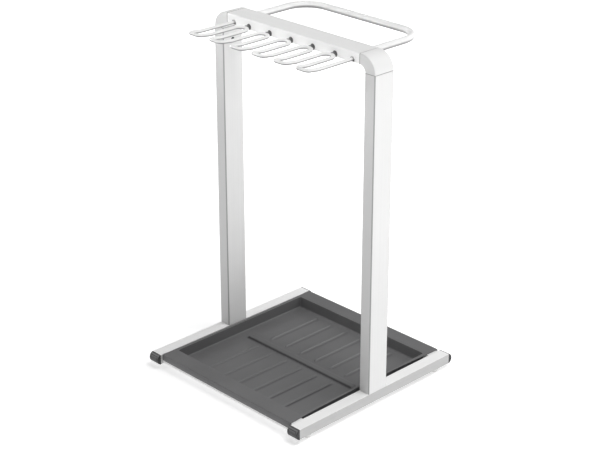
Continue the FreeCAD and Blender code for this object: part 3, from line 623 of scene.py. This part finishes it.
# ---- Welds of the cross bars ------------------------------------------------------------
# A steel fillet weld under each end of each cross bar, in short steps under the same powder coat
# as the rails, so its upright-facing sides carry the same painted shade.
WELD_RADIUS = 1.76 * MILLIMETRE
WELD_STEP = 2.6 * MILLIMETRE
WELD_SWELL = 0.10
WELD_SINK_IN_RAIL = 0.6 * MILLIMETRE
WELD_SINK_IN_BAR = 0.4 * MILLIMETRE
WELD_SHORTER = 3.0 * MILLIMETRE
WELD_RINGS = 60
WELD_SIDES = 12


def weld_rings(side, low, high):
    """A bead along Y in the corner below a bar. Its radius swells once every step and
    falls off at both ends as the root of 1 - u to the 12th, u running from -1 to 1."""
    y = np.linspace(low.y, high.y, WELD_RINGS)
    swell = 1 + WELD_SWELL * np.cos(2 * math.pi * (y - low.y) / WELD_STEP)
    from_middle = np.linspace(-1, 1, WELD_RINGS)
    ends = np.sqrt(np.clip(1 - from_middle ** 12, 0.04, 1))
    path = np.stack([np.full(WELD_RINGS, side * (high.x - WELD_SINK_IN_RAIL)), y,
                     np.full(WELD_RINGS, high.z - WELD_SINK_IN_BAR)], 1)
    return round_tube(path, WELD_RADIUS * swell * ends, WELD_SIDES)


weld_low, weld_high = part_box("crossbar_welds")
bar_low, bar_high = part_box("crossbar_front")
weld_length = bar_high.y - bar_low.y - WELD_SHORTER
weld_shells = []
for side in (-1, 1):
    for low_y, high_y in ((weld_low.y, weld_low.y + weld_length),
                          (weld_high.y - weld_length, weld_high.y)):
        weld_shells.append(closed_tube(weld_rings(
            side, Vector((weld_low.x, low_y, weld_low.z)),
            Vector((weld_high.x, high_y, weld_high.z)))))
welds = new_piece("crossbar_weld_beads", weld_shells, rail_coat)
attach(welds, "frame")
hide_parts("crossbar_welds")


# ---- End caps ---------------------------------------------------------------------------
# Dark grey mouldings pushed into the rail ends, with a bowed nose and a fine grain.
PLASTIC_LOW = colour(0.084, 0.084, 0.086)
PLASTIC_HIGH = colour(0.096, 0.096, 0.098)
GRAIN_HEIGHT = 0.06 * MILLIMETRE


def grain_tone(place, low, high):
    """Cloudy plastic between two tones."""
    return place.noise(7.0, detail=3.0).between(0.3, 0.7).tint(low, high)


def close_grain(material, place, tone, relief=None):
    """Matt moulded plastic with a grain of about half a millimetre."""
    grain = place.noise(1900.0, detail=2.0, roughness=0.7)
    height = grain if relief is None else grain + relief
    close_finish(material, {
        "Base Color": tone,
        "Roughness": 0.50 + 0.12 * grain,
        "Specular IOR Level": 0.4,
        "Normal": height.bump(GRAIN_HEIGHT)})


# Painted light for the faces turned up, then painted shade for the groove and the rims.
CAP_TOP_PAINTED_LIGHT = colour(0.180, 0.180, 0.182)
CAP_EDGE_PAINTED_SHADE = colour(0.022, 0.022, 0.023)
PANEL_INSET = 4.2 * MILLIMETRE
GROOVE_HALF = 0.9 * MILLIMETRE
EDGE_FROM = 1.6 * MILLIMETRE
EDGE_TO = 0.4 * MILLIMETRE
cap_plastic, place = new_finish("cap_plastic")
rail_low, rail_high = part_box("rail_right")
tone = grain_tone(place, PLASTIC_LOW, PLASTIC_HIGH)
# Painted light: faces turned up are painted lighter.
tone = facing(place, "Z").between(0.1, 0.7).tint(tone, CAP_TOP_PAINTED_LIGHT)
from_side = (rail_high.x - rail_low.x) / 2 - abs(
    abs(along(place, "X")) - (rail_high.x + rail_low.x) / 2)
from_edge = (rail_high.z - rail_low.z) / 2 - abs(
    along(place, "Z") - (rail_high.z + rail_low.z) / 2)
inset = from_side.math("MINIMUM", from_side, from_edge)
# Painted shade: the groove, drawn by bump, and the rims are painted near black.
groove = abs(inset - PANEL_INSET).between(GROOVE_HALF, 0.3 * GROOVE_HALF)
groove = groove * abs(facing(place, "Y")).between(0.2, 0.5)
rim = inset.between(EDGE_FROM, EDGE_TO)
shade = groove.math("MAXIMUM", groove * 0.85, rim * 0.8)
close_grain(cap_plastic, place, shade.tint(tone, CAP_EDGE_PAINTED_SHADE), groove * -6.0)
for name in ("end_cap_front_right", "end_cap_front_left", "end_cap_rear_right",
             "end_cap_rear_left"):
    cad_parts[name].data.materials[0] = cap_plastic


# ---- Drip tray --------------------------------------------------------------------------
# A tray moulded in grained dark grey plastic, laid loose on the cross bars. Soft radii
# run round its basin, and drain ribs and a cross spine stand on its floor.
TRAY_SHEET = 2.5 * MILLIMETRE
TRAY_EDGE = 1.3 * MILLIMETRE
TRAY_BOW = 5.5 * MILLIMETRE
TRAY_CORNER = 5.0 * MILLIMETRE
SKIRT_DROP = 16.0 * MILLIMETRE
SKIRT_FROM_Y = 239.3 * MILLIMETRE
BASIN_HALF_X = 207.0 * MILLIMETRE
BASIN_HALF_Y = 201.5 * MILLIMETRE
BASIN_DEPTH = 25.0 * MILLIMETRE
BASIN_DRAFT = 4.0 * MILLIMETRE
FLOOR_FILLET = 3.5 * MILLIMETRE
RIM_ROUNDING = 1.6 * MILLIMETRE
RIB_PITCH = 50.0 * MILLIMETRE
RIB_COUNT = 6
RIB_HALF_WIDTH = 4.5 * MILLIMETRE
REAR_RIB_HEIGHT = 3.4 * MILLIMETRE
FRONT_RIB_HEIGHT = 1.9 * MILLIMETRE
CORNER_SQUARENESS = 0.75
RIB_NEAR_Y = 20.0 * MILLIMETRE
RIB_FAR_Y = 184.0 * MILLIMETRE
SPINE_HALF_X = 176.0 * MILLIMETRE
SPINE_HALF_Y = 10.5 * MILLIMETRE
SPINE_SLOPE = 3.2 * MILLIMETRE
SPINE_HEIGHT = 3.6 * MILLIMETRE
CORNER_STEPS = 8


def eased(x):
    """0 below 0, 1 above 1, and a smooth S between them."""
    x = np.clip(x, 0, 1)
    return x * x * (3 - 2 * x)


def graded(stops, spacings):
    """Coordinates from the first stop to the last, each span cut to its own spacing."""
    line = [np.array([stops[0]])]
    for start, end, spacing in zip(stops[:-1], stops[1:], spacings):
        count = max(int(round((end - start) / spacing)), 1)
        line.append(start + (end - start) * np.arange(1, count + 1) / count)
    return np.concatenate(line)


def floor_relief(x, y):
    """Height of ribs and spine over the tray's floor at each (x, y)."""
    offset = (np.arange(RIB_COUNT) - (RIB_COUNT - 1) / 2) * RIB_PITCH
    nearest = np.abs(x[..., None] - offset).min(-1)
    crown = 0.5 + 0.5 * np.cos(math.pi * np.clip(nearest / RIB_HALF_WIDTH, 0, 1))
    run = eased((np.abs(y) - RIB_NEAR_Y) / (5 * MILLIMETRE))
    run = run * eased((RIB_FAR_Y - np.abs(y)) / (8 * MILLIMETRE))
    spine = eased((SPINE_HALF_Y - np.abs(y)) / SPINE_SLOPE)
    spine = spine * eased((SPINE_HALF_X - np.abs(x)) / (1.5 * SPINE_SLOPE))
    rib = np.where(y > 0, REAR_RIB_HEIGHT, FRONT_RIB_HEIGHT)
    return np.maximum(rib * crown * run, SPINE_HEIGHT * spine)


def floor_crease_painted_shade(x, y):
    """Share of the painted shade, 0 to 1: a Gauss curve over the distance from each rib's right
    foot and from the spine's front foot."""
    offset = (np.arange(RIB_COUNT) - (RIB_COUNT - 1) / 2) * RIB_PITCH
    past = x[:, None] - offset
    foot = np.exp(-((past - RIB_HALF_WIDTH) / (1.8 * MILLIMETRE)) ** 2).max(1)
    run = eased((np.abs(y) - RIB_NEAR_Y) / (12 * MILLIMETRE))
    run = run * eased((RIB_FAR_Y - np.abs(y)) / (20 * MILLIMETRE))
    rightward = np.clip(0.5 + x / (2 * offset[-1]), 0, 1)
    strength = np.where(y > 0, 0.30, 0.10 + 0.80 * rightward ** 1.5)
    by_spine = np.exp(-((y + SPINE_HALF_Y - SPINE_SLOPE / 2) / (2.2 * MILLIMETRE)) ** 2)
    by_spine = 0.7 * by_spine * eased((SPINE_HALF_X - np.abs(x)) / SPINE_SLOPE)
    return np.maximum(foot * run * strength, by_spine)


def floor_crest_painted_highlight(x, y):
    """Share of the painted highlight, 0 to 1: a Gauss curve over the distance from each rib's
    crest, weaker in front of the spine."""
    offset = (np.arange(RIB_COUNT) - (RIB_COUNT - 1) / 2) * RIB_PITCH
    nearest = np.abs(x[:, None] - offset).min(1)
    run = eased((np.abs(y) - RIB_NEAR_Y) / (10 * MILLIMETRE))
    run = run * eased((RIB_FAR_Y - np.abs(y)) / (15 * MILLIMETRE))
    return np.exp(-(nearest / (2.0 * MILLIMETRE)) ** 2) * run * np.where(y > 0, 1.0, 0.3)


def wall_profile():
    """(offset outwards from the flat floor, height over it): fillet, wall, rim round."""
    steep = math.atan2(BASIN_DEPTH, BASIN_DRAFT)
    turn = np.linspace(0, steep, 9)
    offset = FLOOR_FILLET * np.sin(turn)
    height = FLOOR_FILLET * (1 - np.cos(turn))
    rim_turn = np.linspace(steep, 0, 6)
    rim_offset = RIM_ROUNDING * (math.sin(steep) - np.sin(rim_turn))
    rim_height = RIM_ROUNDING * (np.cos(rim_turn) - math.cos(steep))
    climb = BASIN_DEPTH - height[-1] - rim_height[-1]
    rim_offset = rim_offset + offset[-1] + climb / math.tan(steep)
    rim_height = rim_height + height[-1] + climb
    return (np.concatenate([offset[1:], rim_offset]),
            np.concatenate([height[1:], rim_height]))


def loop_frame(line_x, line_y):
    """Foot points and outward directions of the loop round the floor patch.

    Each corner point is repeated, its direction turning from one side's to the next.
    """
    foot = []
    outward = []
    half_x = line_x[-1]
    half_y = line_y[-1]
    turn = np.linspace(0, math.pi / 2, CORNER_STEPS + 1)[1:-1]
    sides = [(np.stack([np.full(len(line_y), half_x), line_y], 1), 0.0),
             (np.stack([line_x[::-1], np.full(len(line_x), half_y)], 1), 0.5 * math.pi),
             (np.stack([np.full(len(line_y), -half_x), line_y[::-1]], 1), math.pi),
             (np.stack([line_x, np.full(len(line_x), -half_y)], 1), 1.5 * math.pi)]
    for points, angle in sides:
        foot.append(points)
        outward.append(np.tile([math.cos(angle), math.sin(angle)], (len(points), 1)))
        foot.append(np.tile(points[-1], (len(turn), 1)))
        square = 1 / np.maximum(np.cos(turn), np.sin(turn))
        length = 1 + CORNER_SQUARENESS * (square - 1)
        outward.append(np.stack([np.cos(angle + turn), np.sin(angle + turn)], 1)
                       * length[:, None])
    return np.concatenate(foot), np.concatenate(outward)


def tray_shells():
    """The tray's upper face: floor patch, then rings out over wall, flange and skirts."""
    tray_low, tray_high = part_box("drip_tray")
    floor_z = tray_high.z - BASIN_DEPTH
    offsets, heights = wall_profile()
    rim_reach = offsets[-1] - RIM_ROUNDING * math.sin(math.atan2(BASIN_DEPTH, BASIN_DRAFT))
    half_x = BASIN_HALF_X - rim_reach
    half_y = BASIN_HALF_Y - rim_reach
    rib_stops = [0.0]
    rib_gaps = []
    for k in range(RIB_COUNT // 2):
        centre = (k + 0.5) * RIB_PITCH
        rib_stops += [centre - RIB_HALF_WIDTH, centre + RIB_HALF_WIDTH]
        rib_gaps += [6 * MILLIMETRE, 0.9 * MILLIMETRE]
    rib_stops += [SPINE_HALF_X - 2 * SPINE_SLOPE, SPINE_HALF_X + MILLIMETRE, half_x]
    rib_gaps += [6 * MILLIMETRE, MILLIMETRE, 5 * MILLIMETRE]
    right = graded(rib_stops, rib_gaps)
    line_x = np.concatenate([-right[:0:-1], right])
    back = graded([0.0, SPINE_HALF_Y - SPINE_SLOPE, SPINE_HALF_Y, RIB_NEAR_Y,
                   RIB_NEAR_Y + 5 * MILLIMETRE, RIB_FAR_Y - 8 * MILLIMETRE, RIB_FAR_Y, half_y],
                  [4 * MILLIMETRE, 0.5 * MILLIMETRE, 4 * MILLIMETRE, MILLIMETRE,
                   10 * MILLIMETRE, MILLIMETRE, 3 * MILLIMETRE])
    line_y = np.concatenate([-back[:0:-1], back])
    x, y = np.meshgrid(line_x, line_y)
    patch = np.stack([x, y, floor_z + floor_relief(x, y)], -1)
    shells = [(patch, grid_faces(len(line_y), len(line_x)), [])]

    foot, outward = loop_frame(line_x, line_y)
    rings = [np.column_stack([foot, np.full(len(foot), floor_z)])]
    for offset, height in zip(offsets, heights):
        rings.append(np.column_stack([foot + outward * offset,
                                      np.full(len(foot), floor_z + height)]))
    plan_half = np.array([tray_high.x, tray_high.y])
    stretch = (plan_half - TRAY_CORNER) / np.array([half_x, half_y])
    rim = foot * stretch + outward * TRAY_CORNER
    bow = TRAY_BOW * (1 - (rim[:, 1] / (plan_half[1] - TRAY_CORNER)) ** 2).clip(0)
    rim[:, 0] -= np.sign(outward[:, 0]) * bow * (np.abs(outward[:, 0]) > 0.5)
    inner_rim = rings[-1][:, :2]
    outer_rim = rim - outward * TRAY_EDGE
    for share in (0.25, 0.5, 0.75):
        rings.append(np.column_stack([inner_rim * (1 - share) + outer_rim * share,
                                      np.full(len(foot), tray_high.z)]))
    for angle in np.linspace(0, math.pi / 2, 5):
        inset = TRAY_EDGE * (1 - math.sin(angle))
        rings.append(np.column_stack([rim - outward * inset, np.full(
            len(foot), tray_high.z - TRAY_EDGE * (1 - math.cos(angle)))]))
    has_skirt = np.abs(rim[:, 1]) >= SKIRT_FROM_Y
    for share in (0.5, 1.0):
        drop = np.where(has_skirt, TRAY_EDGE + (SKIRT_DROP - TRAY_EDGE) * share,
                        TRAY_EDGE + 0.3 * MILLIMETRE * share)
        rings.append(np.column_stack([rim, tray_high.z - drop]))
    rings = np.array(rings)
    shells.append((rings, grid_faces(*rings.shape[:2], wrap_columns=True), []))
    return shells


TRAY_LOW = colour(0.136, 0.136, 0.138)
TRAY_HIGH = colour(0.152, 0.152, 0.154)
TRAY_WALL_PAINTED_SHADE = colour(0.094, 0.094, 0.096)
RIB_CREST_PAINTED_HIGHLIGHT = colour(0.205, 0.205, 0.207)
CREASE_PAINTED_SHADE = colour(0.040, 0.040, 0.042)
tray_plastic, place = new_finish("tray_plastic")
tone = grain_tone(place, TRAY_LOW, TRAY_HIGH)
# Painted shade: the walls that face the sides are painted darker.
tone = abs(facing(place, "X")).between(0.85, 0.97).tint(tone, TRAY_WALL_PAINTED_SHADE)
# Painted highlight: the rib crests are painted lighter.
crest_highlight_share = place.node("Attribute", {}, output="Fac", attribute_name="crest")
tone = crest_highlight_share.tint(tone, RIB_CREST_PAINTED_HIGHLIGHT)
# Painted shade: the feet of the ribs and of the spine are painted dark.
crease_shade_share = place.node("Attribute", {}, output="Fac", attribute_name="crease")
close_grain(tray_plastic, place, crease_shade_share.tint(tone, CREASE_PAINTED_SHADE))
tray = new_piece("drip_tray_moulding", tray_shells(), tray_plastic, merge=True)
points = np.empty(len(tray.data.vertices) * 3)
tray.data.vertices.foreach_get("co", points)
points = points.reshape(-1, 3)
crease = tray.data.attributes.new("crease", "FLOAT", "POINT")
on_floor = points[:, 2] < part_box("drip_tray")[1].z - BASIN_DEPTH + 2 * SPINE_HEIGHT
crease.data.foreach_set("value", floor_crease_painted_shade(points[:, 0], points[:, 1]) * on_floor)
crest = tray.data.attributes.new("crest", "FLOAT", "POINT")
crest.data.foreach_set("value", floor_crest_painted_highlight(points[:, 0], points[:, 1]) * on_floor)
sheet = tray.modifiers.new("sheet", "SOLIDIFY")
sheet.thickness = TRAY_SHEET
sheet.offset = -1.0
sheet.use_even_offset = True
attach(tray, "tray")
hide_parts("drip_tray")


# ---- Glides -----------------------------------------------------------------------------
# White polyethylene feet on zinc-plated studs, with a white slip washer above each.
def smooth_plastic(name, tone_low, tone_high):
    """Smooth light plastic with a faint cloud pattern."""
    material, place = new_finish(name)
    flow = place.noise(140.0, detail=2.0)
    close_finish(material, {
        "Base Color": flow.tint(tone_low, tone_high),
        "Roughness": 0.42 + 0.08 * flow,
        "Normal": flow.bump(0.04 * MILLIMETRE)})
    return material


def bright_metal(name, tone_low, tone_high, rough):
    """Plated or blackened steel: fine turning marks and patches in the finish."""
    material, place = new_finish(name)
    marks = place.node("Mapping", {"Vector": place, "Scale": (300.0, 300.0, 4000.0)}).noise(1.0)
    patch = place.noise(220.0, detail=3.0)
    close_finish(material, {
        "Base Color": patch.tint(tone_low, tone_high),
        "Metallic": 1.0,
        "Roughness": rough + 0.14 * patch,
        "Normal": marks.bump(0.02 * MILLIMETRE)})
    return material


glide_plastic = smooth_plastic("glide_plastic", colour(0.66, 0.66, 0.645),
                               colour(0.72, 0.72, 0.705))
zinc = bright_metal("zinc_plate", colour(0.50, 0.51, 0.53), colour(0.66, 0.67, 0.69), 0.28)
black_steel = bright_metal("black_oxide", colour(0.018, 0.018, 0.019),
                           colour(0.035, 0.035, 0.036), 0.40)
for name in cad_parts:
    if name.startswith(("glide_f", "glide_r", "washer_", "access_plugs")):
        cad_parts[name].data.materials[0] = glide_plastic
    if name.startswith(("stud_", "glide_nuts", "post_bolts", "hoop_plugs")):
        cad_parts[name].data.materials[0] = zinc
    if name.endswith("_screws"):
        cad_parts[name].data.materials[0] = black_steel
